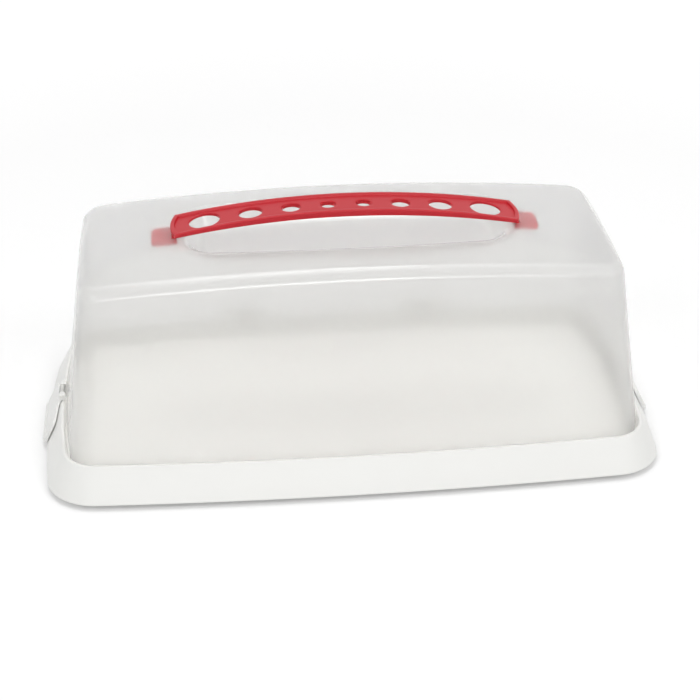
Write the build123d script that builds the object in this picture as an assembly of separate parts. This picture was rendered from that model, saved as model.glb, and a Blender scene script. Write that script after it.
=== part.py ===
"""Loaf-cake carrier: a white tray, a clear domed lid hinged along the back, and a strap handle.

Millimetres. +Z is up, +X runs along the carrier and -Y is its front.
The origin is on the table, under the middle of the tray.
"""
from build123d import *
import math
import os

# ---- tray -------------------------------------------------------------------
foot_height = 3.5            # the skirt's lower edge hangs this far above the table
skirt_half_length = 185.0    # widest outline, at the middle of each end
skirt_half_width = 96.5      # widest outline, at the middle of each side
skirt_end_bow = 5.5          # how far each end bulges past its corners
skirt_side_bow = 6.0         # how far each long side bulges past its corners
skirt_corner_radius = 31.0
skirt_rise = 20.0            # height of the skirt, from its lower edge to the rim
skirt_lean = 10.0            # how far the skirt leans in over that height
tray_wall = 1.8
ledge_above_table = 12.0     # the lid's foot stands on this ledge
ledge_width = 10.0
floor_above_table = 8.5
floor_edge_run = 4.0         # plan length of the slope between floor and ledge

# ---- lid --------------------------------------------------------------------
lid_wall = 1.8
lid_rim_gap = 1.8            # free space between the lid's foot band and the tray's rim
lid_seat_gap = 0.1           # the foot band stands on the ledge
band_height = 14.0           # the upright band at the lid's foot
lid_top_half_length = 156.4  # at the dome's top edge
lid_top_half_width = 62.0
lid_top_end_bow = 1.0
lid_top_side_bow = 3.2
lid_top_corner_radius = 13.0
lid_edge_above_table = 123.2  # the top edge at the four corners
crown_lengthwise = 7.3       # rise of the top along the carrier
crown_crosswise = 4.7        # rise of the top across it
lid_edge_radius = 6.0

# ---- finger scoop in the lid's top ------------------------------------------
scoop_half_length = 98.8     # outline at the level of the lid's highest point
scoop_half_width = 37.5
scoop_end_bow = 2.0
scoop_side_bow = 5.0
scoop_corner_radius = 22.0
scoop_depth = 13.0
scoop_slant = 1.0            # how far the walls draw in for each millimetre of depth
scoop_foot_radius = 9.0      # between the walls and the scoop's floor

# ---- strap handle -----------------------------------------------------------
strap_past_scoop = 4.2       # the strap's ends lie this far past the scoop's
strap_half_width = 12.2      # at the middle
strap_end_half_width = 13.6
strap_end_bulge = 5.0        # the ends are convex
strap_arch = 10.3            # top of the strap above the lid, at the middle
strap_end_height = 2.6       # top of the strap above the lid, at the ends
strap_thickness = 4.2        # at the middle
strap_end_thickness = 2.2
strap_rim_width = 2.2
strap_channel_depth = 1.2
strap_channel_end = 5.0      # the channel stops this far from the strap's ends
strap_holes = ((10.4, 9.0), (32.2, 11.2), (55.9, 14.0), (82.9, 18.0))  # place from the middle, diameter
tongue_width = 21.0
tongue_reach = 12.5          # how far a tongue runs under the lid, past the strap's end
tongue_thickness = 1.8
tongue_corner_radius = 4.0
riser_thickness = 2.2        # the upright part of a tongue, inside its slot
riser_inset = 1.4            # from the strap's end to the riser
strap_lift = 1.0             # free play upwards
strap_clearance = 0.3
slot_clearance = 0.8

# ---- lid hinge, along the back ----------------------------------------------
hinge_spacing = 120.0        # between the two hinges
hinge_pin_radius = 1.5
hinge_knuckle_radius = 3.2
hinge_knuckle_length = 9.0
hinge_side_gap = 0.4
hinge_out = 3.5              # pin axis behind the rim
hinge_up = 1.5               # pin axis above the rim
hinge_arm_thickness = 2.6
hinge_web_drop = 7.0         # the tray knuckles' webs run this far down the skirt
running_clearance = 0.05
seated_clearance = 0.02
pin_head_radius = 2.2
pin_head_length = 0.8

# ---- end clips --------------------------------------------------------------
clip_half_width = 24.0
clip_neck_half_width = 8.5
clip_thickness = 1.4
clip_gap = 0.35              # between the closed clip and the skirt
clip_tail = 0.7              # the clip reaches this far below the skirt's edge
clip_shoulder_drop = 6.5     # the clip widens this far down the slope
clip_corner_radius = 4.0
clip_grip_height = 0.8
clip_grip_length = 2.4
clip_in = 0.6                # pin axis inside the rim's outer edge
clip_up = 3.0                # pin axis above the rim
clip_knuckle_radius = 2.1
clip_pin_radius = 1.0
clip_lug_half_width = 4.2
clip_lug_base = 0.5          # underside of the lug above the rim

# ---- worked out -------------------------------------------------------------
rim_z = foot_height + skirt_rise
rim_half_length = skirt_half_length - skirt_lean
rim_half_width = skirt_half_width - skirt_lean
rim_corner_radius = skirt_corner_radius - skirt_lean
band_top = ledge_above_table + band_height
band_inset = tray_wall + lid_rim_gap
crown_radius_x = (lid_top_half_length - lid_top_end_bow) ** 2 / (2 * crown_lengthwise)
crown_radius_y = (lid_top_half_width - lid_top_side_bow) ** 2 / (2 * crown_crosswise)
lid_apex = lid_edge_above_table + crown_lengthwise + crown_crosswise
hinge_y = rim_half_width + hinge_out
hinge_z = rim_z + hinge_up
clip_x = rim_half_length - clip_in
strap_half_length = scoop_half_length + strap_past_scoop
clip_z = rim_z + clip_up


def plan(half_length, half_width, end_bow, side_bow, corner_radius, z):
    """A rounded rectangle whose four sides bulge, lying at height z."""
    x = half_length - end_bow
    y = half_width - side_bow
    sides = [
        ThreePointArc((-x, -y), (0, -half_width), (x, -y)),
        ThreePointArc((x, -y), (half_length, 0), (x, y)),
        ThreePointArc((x, y), (0, half_width), (-x, y)),
        ThreePointArc((-x, y), (-half_length, 0), (-x, -y)),
    ]
    outline = make_face(sides)
    return Pos(0, 0, z) * fillet(outline.vertices(), corner_radius)


def tray_plan(inset, z):
    """The tray's outline, drawn in by inset all round."""
    return plan(skirt_half_length - inset, skirt_half_width - inset,
                skirt_end_bow, skirt_side_bow, skirt_corner_radius - inset, z)


def floor_plan(grow, z):
    """The outline of the tray's sunken floor, enlarged by grow."""
    inset = skirt_lean + tray_wall + ledge_width + floor_edge_run - grow
    corner = max(skirt_corner_radius - inset, tray_wall + 1.0 + grow)
    return plan(skirt_half_length - inset, skirt_half_width - inset,
                skirt_end_bow, skirt_side_bow, corner, z)


def side_in(x):
    """How far the tray's long side lies in from its widest line, at x from the middle."""
    return skirt_side_bow * (x / (skirt_half_length - skirt_end_bow - skirt_lean)) ** 2


def blend(low, high, share):
    return low + (high - low) * share


def lid_plan(inset, z):
    """The dome's outline at height z: it narrows evenly from the foot band to the top edge."""
    share = (z - band_top) / (lid_edge_above_table - band_top)
    drawn_in = skirt_lean + band_inset
    return plan(blend(skirt_half_length - drawn_in, lid_top_half_length, share) - inset,
                blend(skirt_half_width - drawn_in, lid_top_half_width, share) - inset,
                blend(skirt_end_bow, lid_top_end_bow, share),
                blend(skirt_side_bow, lid_top_side_bow, share),
                blend(skirt_corner_radius - drawn_in, lid_top_corner_radius, share) - inset, z)


def crown_height(x, y=0.0):
    """Height of the lid's top above the table at a place on it."""
    along = crown_radius_x - math.sqrt(crown_radius_x ** 2 - x ** 2)
    across = crown_radius_y - math.sqrt(crown_radius_y ** 2 - y ** 2)
    return lid_apex - along - across


def crown(inset):
    """Everything below the doubly curved top, lowered by inset: a wide arc turned about a far axis."""
    half = skirt_half_width
    top = lid_apex - inset
    side = crown_height(0, half) - inset
    below = -skirt_half_width
    section = make_face([
        ThreePointArc((-half, side), (0, top), (half, side)),
        Line((half, side), (half, below)),
        Line((half, below), (-half, below)),
        Line((-half, below), (-half, side)),
    ])
    axis = Axis((0, 0, lid_apex - crown_radius_x), (0, 1, 0))
    half_turn = math.degrees(math.asin(1.1 * skirt_half_length / crown_radius_x))
    return revolve(Plane.YZ * section, axis, 2 * half_turn).rotate(axis, -half_turn)


def dome(inset, foot):
    """The lid as a full body, drawn in by inset and reaching down to foot."""
    cap = lid_apex + crown_lengthwise
    band = extrude(lid_plan(inset, band_top), -(band_top - foot))
    body = band + loft([lid_plan(inset, band_top), lid_plan(inset, cap)])
    body = body & crown(inset)
    top_edges = [e for e in body.edges()
                 if e.center().Z > lid_edge_above_table - lid_edge_radius
                 and e.bounding_box().size.Z < 2 * crown_lengthwise]
    return fillet(top_edges, lid_edge_radius - inset)


def scoop(grow):
    """The finger scoop: a long tub with slanting walls and a softly rounded floor, enlarged by grow."""

    def outline(depth):
        inset = depth * scoop_slant - grow * math.hypot(1, scoop_slant)
        return plan(scoop_half_length - inset, scoop_half_width - inset,
                    scoop_end_bow, scoop_side_bow, scoop_corner_radius - inset, lid_apex - depth)

    tub = loft([outline(scoop_depth + grow), outline(-lid_edge_radius)])
    floor_edges = tub.faces().sort_by(Axis.Z)[0].edges()
    return fillet(floor_edges, scoop_foot_radius + grow)


def barrel(radius, bore, x, y, z, length, along):
    """A hinge knuckle centred on a point, its bore along X or Y."""
    turn = Rot(0, 90, 0) if along == "X" else Rot(90, 0, 0)
    tube = Cylinder(radius, length) - Cylinder(bore, length)
    return Pos(x, y, z) * turn * tube


def knuckle_places():
    """Middles of the tray's knuckles on one hinge, from the hinge's middle."""
    step = hinge_knuckle_length + hinge_side_gap
    return (-step, step)


def hinge_middles():
    return (-hinge_spacing / 2, hinge_spacing / 2)


def make_tray():
    top = rim_z
    wall = extrude(tray_plan(skirt_lean, 0), top) - extrude(tray_plan(skirt_lean + tray_wall, 0), top)
    skirt = (loft([tray_plan(0, foot_height), tray_plan(skirt_lean, top)])
             - loft([tray_plan(tray_wall, foot_height), tray_plan(skirt_lean + tray_wall, top)]))
    ledge_under = ledge_above_table - tray_wall
    ledge = extrude(tray_plan(skirt_lean + tray_wall, ledge_under), tray_wall)
    floor_under = loft([floor_plan(tray_wall, floor_above_table - tray_wall),
                        floor_plan(floor_edge_run + tray_wall, ledge_under)])
    well = loft([floor_plan(0, floor_above_table), floor_plan(floor_edge_run, ledge_above_table)])
    tray = wall + skirt + ledge + floor_under - well
    lean = skirt_lean / skirt_rise
    slant = math.radians(45)
    bore = Pos(0, hinge_y, hinge_z) * Rot(0, 90, 0) * Cylinder(
        hinge_pin_radius + seated_clearance, 2 * skirt_half_length)
    for middle in hinge_middles():
        for place in knuckle_places():
            x = middle + place
            root = rim_half_width - tray_wall / 2 - side_in(abs(x) + hinge_knuckle_length / 2)
            web = make_face(Polyline(
                (root, rim_z),
                (root + lean * hinge_web_drop, rim_z - hinge_web_drop),
                (hinge_y + hinge_knuckle_radius * math.cos(slant),
                 hinge_z - hinge_knuckle_radius * math.sin(slant)),
                (hinge_y, hinge_z),
                close=True))
            rib = extrude(Plane.YZ.offset(x) * web, hinge_knuckle_length / 2, both=True)
            tray += rib + barrel(hinge_knuckle_radius, hinge_pin_radius + seated_clearance,
                                 x, hinge_y, hinge_z, hinge_knuckle_length, "X")
    return tray - bore


def make_lid():
    foot = ledge_above_table + lid_seat_gap
    body = dome(0, foot)
    shell = (body - dome(lid_wall, foot - 1.0)) + (scoop(lid_wall) & body) - scoop(0)
    slot_width = tongue_width + 2 * slot_clearance
    slot_length = riser_thickness + 2 * slot_clearance
    slot_x = strap_half_length - riser_inset - riser_thickness / 2
    slot = Pos(slot_x, 0, crown_height(slot_x)) * Box(slot_length, slot_width, 4 * lid_wall)
    shell -= slot + mirror(slot, about=Plane.YZ)
    band_half_width = skirt_half_width - skirt_lean - band_inset
    bite = lid_wall / 2
    arm_low = rim_z + hinge_side_gap
    for middle in hinge_middles():
        arm_y = band_half_width - bite - side_in(abs(middle) + hinge_knuckle_length / 2)
        arm = Pos(middle, (arm_y + hinge_y) / 2, arm_low + hinge_arm_thickness / 2) * Box(
            hinge_knuckle_length, hinge_y - arm_y, hinge_arm_thickness)
        arm -= Pos(middle, hinge_y, hinge_z) * Rot(0, 90, 0) * Cylinder(
            hinge_pin_radius + running_clearance, hinge_knuckle_length)
        shell += arm + barrel(hinge_knuckle_radius, hinge_pin_radius + running_clearance,
                              middle, hinge_y, hinge_z, hinge_knuckle_length, "X")
    band_half_length = skirt_half_length - skirt_lean - band_inset
    lug_low = rim_z + clip_lug_base
    lug_high = clip_z + clip_knuckle_radius
    for side in (-1, 1):
        inner = band_half_length - bite
        lug = Pos(side * (inner + clip_x) / 2, 0, (lug_low + lug_high) / 2) * Box(
            clip_x - inner, 2 * clip_lug_half_width, lug_high - lug_low)
        lug += Pos(side * clip_x, 0, clip_z) * Rot(90, 0, 0) * Cylinder(
            clip_knuckle_radius, 2 * clip_lug_half_width)
        lug -= Pos(side * clip_x, 0, clip_z) * Rot(90, 0, 0) * Cylinder(
            clip_pin_radius + seated_clearance, 2 * clip_lug_half_width)
        shell += lug
    return shell


def strap_top(x):
    """Height of the strap's upper face, on the arc through its middle and ends."""
    rise = (lid_apex + strap_arch) - (crown_height(strap_half_length) + strap_end_height)
    radius = (strap_half_length ** 2 + rise ** 2) / (2 * rise)
    return lid_apex + strap_arch - radius + math.sqrt(radius ** 2 - x ** 2)


def make_strap():
    end = strap_half_length
    past = end + strap_end_bulge
    top_mid = strap_top(0)
    top_end = strap_top(end)
    top_past = strap_top(past)
    side_view = make_face([
        ThreePointArc((-past, top_past), (0, top_mid), (past, top_past)),
        Line((past, top_past), (past, top_past - strap_end_thickness)),
        ThreePointArc((past, top_past - strap_end_thickness), (0, top_mid - strap_thickness),
                      (-past, top_past - strap_end_thickness)),
        Line((-past, top_past - strap_end_thickness), (-past, top_past)),
    ])
    band = extrude(Plane.XZ * side_view, strap_end_half_width, both=True)
    shoulder = end - strap_end_bulge

    def outline(inset, end_inset):
        x = shoulder - end_inset
        y = strap_end_half_width - inset
        waist = strap_half_width - inset
        tip = end - end_inset
        return make_face([
            ThreePointArc((-x, -y), (0, -waist), (x, -y)),
            ThreePointArc((x, -y), (tip, 0), (x, y)),
            ThreePointArc((x, y), (0, waist), (-x, y)),
            ThreePointArc((-x, y), (-tip, 0), (-x, -y)),
        ])

    strap = band & extrude(outline(0, 0), 2 * lid_apex)
    channel_side_view = make_face([
        ThreePointArc((-past, top_past - strap_channel_depth), (0, top_mid - strap_channel_depth),
                      (past, top_past - strap_channel_depth)),
        Line((past, top_past - strap_channel_depth), (past, top_mid + strap_arch)),
        Line((past, top_mid + strap_arch), (-past, top_mid + strap_arch)),
        Line((-past, top_mid + strap_arch), (-past, top_past - strap_channel_depth)),
    ])
    channel = extrude(Plane.XZ * channel_side_view, strap_end_half_width, both=True)
    channel &= extrude(outline(strap_rim_width, strap_channel_end), 2 * lid_apex)
    strap -= channel
    for place, diameter in strap_holes:
        for side in (-1, 1):
            strap -= Pos(side * place, 0, lid_apex) * Cylinder(diameter / 2, 4 * strap_arch)
    reach = end + tongue_reach
    skin_under = crown_height(reach, tongue_width / 2) - lid_wall
    tongue_top = skin_under - strap_clearance - strap_lift
    riser_out = end - riser_inset
    riser_in = riser_out - riser_thickness
    for side in (-1, 1):
        plate = Pos(side * (riser_in + reach) / 2, 0, tongue_top - tongue_thickness / 2) * Box(
            reach - riser_in, tongue_width, tongue_thickness)
        outer = [e for e in plate.edges().filter_by(Axis.Z) if side * e.center().X > riser_out]
        plate = fillet(outer, tongue_corner_radius)
        riser_top = top_end - strap_end_thickness / 2
        riser = Pos(side * (riser_in + riser_out) / 2, 0, (tongue_top + riser_top) / 2) * Box(
            riser_thickness, tongue_width, riser_top - tongue_top)
        strap += plate + riser
    return strap


def make_hinge_pin(middle):
    """A straight pin with a small head at each end, through the three knuckles."""
    span = 3 * hinge_knuckle_length + 2 * hinge_side_gap
    pin = Cylinder(hinge_pin_radius, span)
    for side in (-1, 1):
        pin += Pos(0, 0, side * (span + pin_head_length) / 2) * Cylinder(pin_head_radius, pin_head_length)
    return Pos(middle, hinge_y, hinge_z) * Rot(0, 90, 0) * pin


def make_clip(side):
    """A flap on the lid's end lug, lying along the skirt's slope with its lower edge free to grip."""
    run = math.hypot(skirt_rise, skirt_lean)
    slope = Plane(origin=(rim_half_length, 0, rim_z),
                  x_dir=(0, 1, 0),
                  z_dir=(skirt_rise / run, 0, skirt_lean / run))
    # on this plane, local x runs along Y and local y runs up the slope
    neck_top = (clip_up * skirt_rise + clip_in * skirt_lean) / run
    tail = -run - clip_tail
    outline = make_face(Polyline(
        (-clip_neck_half_width, neck_top),
        (-clip_neck_half_width, -clip_shoulder_drop + clip_corner_radius),
        (-clip_half_width, -clip_shoulder_drop),
        (-clip_half_width, tail),
        (clip_half_width, tail),
        (clip_half_width, -clip_shoulder_drop),
        (clip_neck_half_width, -clip_shoulder_drop + clip_corner_radius),
        (clip_neck_half_width, neck_top),
        close=True))
    wide = [v for v in outline.vertices() if abs(v.X) > clip_neck_half_width + 1]
    outline = fillet(wide, clip_corner_radius)
    plate = extrude(slope.offset(clip_gap) * outline, clip_thickness)
    grip = Pos(0, tail + clip_grip_length / 2, 0) * Rectangle(
        2 * (clip_half_width - clip_corner_radius), clip_grip_length)
    plate += extrude(slope.offset(clip_gap + clip_thickness) * grip, clip_grip_height)
    width = 2 * clip_neck_half_width
    plate += Pos(clip_x, 0, clip_z) * Rot(90, 0, 0) * Cylinder(clip_knuckle_radius, width)
    notch_half = clip_lug_half_width + hinge_side_gap
    notch_radius = clip_knuckle_radius + 2 * hinge_side_gap
    plate -= Pos(clip_x, 0, clip_z) * Rot(90, 0, 0) * Cylinder(notch_radius, 2 * notch_half)
    plate -= Pos(clip_x, 0, clip_z) * Rot(90, 0, 0) * Cylinder(clip_pin_radius + running_clearance, width)
    if side < 0:
        plate = mirror(plate, about=Plane.YZ)
    return plate


def make_clip_pin(side):
    return Pos(side * clip_x, 0, clip_z) * Rot(90, 0, 0) * Cylinder(clip_pin_radius, 2 * clip_neck_half_width)


parts = {
    "base_tray": make_tray(),
    "lid_dome": make_lid(),
    "handle_strap": make_strap(),
    "hinge_pin_left": make_hinge_pin(-hinge_spacing / 2),
    "hinge_pin_right": make_hinge_pin(hinge_spacing / 2),
    "end_clip_left": make_clip(-1),
    "end_clip_right": make_clip(1),
    "clip_pin_left": make_clip_pin(-1),
    "clip_pin_right": make_clip_pin(1),
}

os.makedirs("parts", exist_ok=True)
for name, part in parts.items():
    export_step(part, f"parts/{name}.step")
    size = part.bounding_box().size
    print(f"{name:18s} solids {len(part.solids())}  volume {part.volume:10.0f}"
          f"  size {size.X:6.1f} {size.Y:6.1f} {size.Z:6.1f}")
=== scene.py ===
# %% [markdown]
# # A loaf-cake carrier
# A white tray, a milky see-through lid hinged along the back, a red strap to carry it by, and a
# clip at each end. The model's frame gives every piece its true place; this lesson dresses that
# frame. Each moulded piece is one closed skin worked out with numpy, because a moulding is thin,
# smooth and rounded at every edge, and that is easiest to say as a formula.

# %% Load the frame
import bpy
import bmesh
import math
import numpy as np
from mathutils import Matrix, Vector


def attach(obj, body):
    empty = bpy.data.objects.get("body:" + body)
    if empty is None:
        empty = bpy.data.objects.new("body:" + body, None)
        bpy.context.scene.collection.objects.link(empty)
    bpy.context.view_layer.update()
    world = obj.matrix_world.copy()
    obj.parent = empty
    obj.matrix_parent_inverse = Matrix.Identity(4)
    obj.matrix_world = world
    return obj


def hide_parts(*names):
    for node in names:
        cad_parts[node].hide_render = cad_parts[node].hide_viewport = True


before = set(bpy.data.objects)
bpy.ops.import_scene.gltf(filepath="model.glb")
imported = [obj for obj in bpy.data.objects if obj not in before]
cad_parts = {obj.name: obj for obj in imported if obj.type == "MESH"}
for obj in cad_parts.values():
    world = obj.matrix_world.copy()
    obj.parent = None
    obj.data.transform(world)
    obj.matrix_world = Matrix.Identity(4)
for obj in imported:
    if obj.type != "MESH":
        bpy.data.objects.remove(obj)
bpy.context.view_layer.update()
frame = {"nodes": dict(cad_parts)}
print("nodes:", ", ".join(frame["nodes"]))

# %% [markdown]
# ## Sizes
# These are the sizes of the frame, in millimetres, so that each skin lies where its solid does.
# They could be measured from the solids, but named values are easier to read and to change.

# %% Sizes of the tray and the lid
MM = 0.001

foot_height = 3.5
skirt_half_length, skirt_half_width = 185.0, 96.5
skirt_end_bow, skirt_side_bow = 5.5, 6.0
skirt_corner_radius = 31.0
skirt_rise, skirt_lean = 20.0, 10.0
tray_wall = 1.8
ledge_above_table, ledge_width = 12.0, 10.0
floor_above_table, floor_edge_run = 8.5, 4.0
rim_z = foot_height + skirt_rise
rim_half_length = skirt_half_length - skirt_lean
rim_half_width = skirt_half_width - skirt_lean

lid_wall, lid_seat_gap, lid_rim_gap = 1.8, 0.1, 1.8
band_height = 14.0
lid_foot = ledge_above_table + lid_seat_gap
band_top = ledge_above_table + band_height
band_inset = skirt_lean + (tray_wall + lid_rim_gap)
lid_top_half_length, lid_top_half_width = 156.4, 62.0
lid_top_end_bow, lid_top_side_bow = 1.0, 3.2
lid_top_corner_radius = 13.0
lid_edge_above_table = 123.2
crown_lengthwise, crown_crosswise = 7.3, 4.7
lid_apex = lid_edge_above_table + crown_lengthwise + crown_crosswise
crown_radius_x = (lid_top_half_length - lid_top_end_bow) ** 2 / (2 * crown_lengthwise)
crown_radius_y = (lid_top_half_width - lid_top_side_bow) ** 2 / (2 * crown_crosswise)
print("rim at", rim_z, "mm, lid's highest point at", lid_apex, "mm")

# %% [markdown]
# ## A helper that makes a piece
# A piece is a mesh whose object stays at the origin, so its place is in its points. The helper
# takes points in millimetres and faces as lists of point numbers. It shades the skin smooth but
# keeps real creases, and prints the volume, which is positive for a closed skin whose faces look
# outwards.

# %% Make a mesh object
def new_piece(name, points, faces, crease=35.0):
    """A smooth skin, with a real crease wherever faces meet at more than the crease angle."""
    mesh = bpy.data.meshes.new(name)
    mesh.from_pydata((np.asarray(points) * MM).tolist(), [], faces)
    mesh.update()
    mesh.shade_smooth()
    mesh.set_sharp_from_angle(angle=math.radians(crease))
    piece = bpy.data.objects.new(name, mesh)
    bpy.context.scene.collection.objects.link(piece)
    report(piece)
    return piece


def report(piece):
    """Prints a skin's faces, its open edges and its volume."""
    shape = bmesh.new()
    shape.from_mesh(piece.data)
    open_edges = sum(not edge.is_manifold for edge in shape.edges)
    print(f"{piece.name}: {len(shape.faces)} faces, {open_edges} open edges, "
          f"{shape.calc_volume(signed=True) * 1e6:.2f} cm3")
    shape.free()


# %% [markdown]
# ## The plan of the carrier
# Seen from above, every level of the tray and the lid is a rounded rectangle whose four sides
# bulge a little. It could be a spline through hand-set points, but arcs are what a mould maker
# uses, and arcs let one function serve every level. Only a quarter is worked out; the rest is
# its mirror image.

# %% A quarter of the plan
STEPS_END, STEPS_CORNER, STEPS_SIDE = 14, 14, 40
stretch = np.repeat([0, 1, 2], [STEPS_END, STEPS_CORNER, STEPS_SIDE + 1])
share = np.concatenate([np.arange(STEPS_END) / STEPS_END,
                        np.arange(STEPS_CORNER) / STEPS_CORNER,
                        np.arange(STEPS_SIDE + 1) / STEPS_SIDE])


def quarter(half_length, half_width, end_bow, side_bow, corner_radius):
    """Points from the middle of the +X end to the middle of the +Y side.

    The end is an arc about a centre on the X axis, the side an arc about a centre on the Y axis,
    each with radius (half chord squared + bow squared) / (2 bow). The corner is the circle that
    touches both from inside: its centre is where two circles about those centres cross, each
    smaller than its arc by the corner radius. The arguments may be arrays, one value per point.
    """
    chord_y = half_width - side_bow
    chord_x = half_length - end_bow
    end_radius = (chord_y ** 2 + end_bow ** 2) / (2 * end_bow)
    side_radius = (chord_x ** 2 + side_bow ** 2) / (2 * side_bow)
    end_x = half_length - end_radius
    side_y = half_width - side_radius
    to_end = end_radius - corner_radius
    to_side = side_radius - corner_radius
    apart = np.hypot(end_x, side_y)
    along = (to_end ** 2 - to_side ** 2 + apart ** 2) / (2 * apart)
    off = np.sqrt(to_end ** 2 - along ** 2)
    unit_x, unit_y = -end_x / apart, side_y / apart
    corner_x = end_x + along * unit_x - off * unit_y
    corner_y = along * unit_y + off * unit_x
    low_turn = np.arctan2(corner_y, corner_x - end_x)
    high_turn = np.arctan2(corner_y - side_y, corner_x)
    centre_x = np.select([stretch == 0, stretch == 1], [end_x, corner_x], 0.0)
    centre_y = np.select([stretch == 0, stretch == 1], [0.0, corner_y], side_y)
    radius = np.select([stretch == 0, stretch == 1], [end_radius, corner_radius], side_radius)
    turn = np.select([stretch == 0, stretch == 1],
                     [share * low_turn, low_turn + share * (high_turn - low_turn)],
                     high_turn + share * (math.pi / 2 - high_turn))
    x = centre_x + radius * np.cos(turn)
    y = centre_y + radius * np.sin(turn)
    return np.where(share + stretch >= 3, 0.0, x), np.where(share + stretch <= 0, 0.0, y)


test_x, test_y = quarter(skirt_half_length, skirt_half_width, skirt_end_bow, skirt_side_bow,
                         skirt_corner_radius)
print("skirt outline reaches", test_x.max(), "by", round(test_y.max(), 3), "mm")

# %% [markdown]
# A moulding is then a stack of such rings. They run from the middle of its top, out over its
# edges and back underneath to the middle again, so that one grid covers the whole closed skin.

# %% Close a stack of rings into a skin
def all_round(rings):
    """Mirrors quarter rings, (rows, points, 3), into full rings, counted anticlockwise."""
    flip = np.array([[1, 1, 1], [-1, 1, 1], [-1, -1, 1], [1, -1, 1]])
    return np.concatenate([(rings * flip[0])[:, :-1], (rings * flip[1])[:, :0:-1],
                           (rings * flip[2])[:, :-1], (rings * flip[3])[:, :0:-1]], axis=1)


def skin(rings, first_middle, last_middle):
    """Points and faces of the skin: a fan, quads from ring to ring, and a fan."""
    rings = all_round(np.asarray(rings))
    rows, around = rings.shape[:2]
    points = np.concatenate([rings.reshape(-1, 3), [first_middle, last_middle]])
    row = np.arange(rows - 1)[:, None] * around
    here = np.arange(around)[None, :]
    after = (here + 1) % around
    quads = np.stack([row + here, row + around + here, row + around + after, row + after], -1)
    here, after = here[0], after[0]
    first, last = rows * around, rows * around + 1
    end = (rows - 1) * around
    fans = np.concatenate([np.stack([np.full(around, first), here, after], -1),
                           np.stack([np.full(around, last), end + after, end + here], -1)])
    return points, quads.reshape(-1, 4).tolist() + fans.tolist()


def ring(x, y, z):
    """One row of points, from matching x and y, at one height or at a height for each."""
    return np.stack([x, y, np.broadcast_to(z, x.shape)], axis=-1)


def bend(start, corner, finish, steps=5):
    """Points of the parabola from start to finish that leaves and arrives in line with corner."""
    t = np.linspace(0, 1, steps).reshape((-1,) + (1,) * np.ndim(start))
    return list((1 - t) ** 2 * start + 2 * t * (1 - t) * corner + t ** 2 * finish)


# %% [markdown]
# ## The lid's top
# The top of the lid is crowned both ways, which stiffens the thin sheet, and a finger scoop is
# pressed into it under the strap. Height is a function of place. The crown is two arcs added
# together. The scoop's height depends only on how far a ring has drawn in, and the lower of the
# two heights holds, blended softly where they cross, as a mould's edge is.

# %% Height of the crown and of the scoop
ends_flattened, flattening_power = 0.85, 9
scoop_half_length, scoop_half_width = 98.8, 37.5
scoop_end_bow, scoop_side_bow, scoop_corner_radius = 2.0, 5.0, 22.0
scoop_depth, scoop_foot_radius = 13.0, 9.0
scoop_lip = 3.0
SLANT = math.sqrt(2)


def crown(x, y):
    """Highest point, less an arc's drop along, less an arc's drop across; near the ends the rise
    across fades with a high power of x, so the end edges are almost straight."""
    along = crown_radius_x - np.sqrt(crown_radius_x ** 2 - x ** 2)
    across = crown_radius_y - np.sqrt(crown_radius_y ** 2 - y ** 2)
    fade = ends_flattened * (np.abs(x) / lid_top_half_length) ** flattening_power
    return lid_apex - along - across - fade * (crown_crosswise - across)


def scoop_height(drawn_in, grow):
    """A 45 degree wall, then an arc of the foot radius, then flat; grow shifts it all outwards
    at right angles, for the underside."""
    radius = scoop_foot_radius + grow
    depth = scoop_depth + grow
    middle = depth - grow * SLANT + radius * math.tan(math.pi / 8)
    on_arc = depth - radius + np.sqrt(np.maximum(radius ** 2 - (middle - drawn_in) ** 2, 0))
    wall = drawn_in + grow * SLANT
    foot = np.where(drawn_in < middle, on_arc, depth)
    return lid_apex - np.where(drawn_in < middle - radius / SLANT, wall, foot)


def soft_lower(a, b, reach):
    """The lower of a and b, rounded off where they are within reach of each other."""
    near = np.maximum(reach - np.abs(a - b), 0) / reach
    return np.minimum(a, b) - near ** 2 * reach / 4


def scoop_quarter(drawn_in):
    """The scoop's plan where it has drawn in that far from its outline."""
    return quarter(scoop_half_length - drawn_in, scoop_half_width - drawn_in,
                   scoop_end_bow, scoop_side_bow, scoop_corner_radius - drawn_in)


print("scoop floor at", float(scoop_height(np.array(20.0), 0)), "mm")

# %% [markdown]
# ## The lid
# The real lid is one sheet of milky polypropylene about two millimetres thick. Its walls lean in
# and meet the top in a narrow bevel with two soft edges, which is what catches the light in two
# fine lines. Solidify could thicken a single surface, but the rings let the inner skin follow its
# own formula, so the wall keeps its thickness round the bevel and the scoop.

# %% The lid's plan at any height
bevel_leg, bevel_soft = 3.9, 2.2
bevel_leg_loss = 0.45    # for each millimetre of depth under the outer skin


def lid_quarter(inset, z):
    """The lid's plan at height z: the foot band's up to the band's top, then narrowing evenly."""
    up = np.maximum((z - band_top) / (lid_edge_above_table - band_top), 0)

    def between(foot, top):
        return foot * (1 - up) + top * up

    return quarter(between(skirt_half_length - band_inset, lid_top_half_length) - inset,
                   between(skirt_half_width - band_inset, lid_top_half_width) - inset,
                   between(skirt_end_bow, lid_top_end_bow),
                   between(skirt_side_bow, lid_top_side_bow),
                   between(skirt_corner_radius - band_inset, lid_top_corner_radius) - inset)


def lid_edge(depth):
    """Height of the sharp edge where wall and top would meet, point by point. The plan depends on
    the height and the height on the plan, so a first guess is put right a few times."""
    edge = np.full(share.shape, lid_edge_above_table)
    for _ in range(6):
        edge = crown(*lid_quarter(depth, edge)) - depth
    return edge


print("lid's edge from", round(float(lid_edge(0.0).min()), 2), "to",
      round(float(lid_edge(0.0).max()), 2), "mm")

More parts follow.
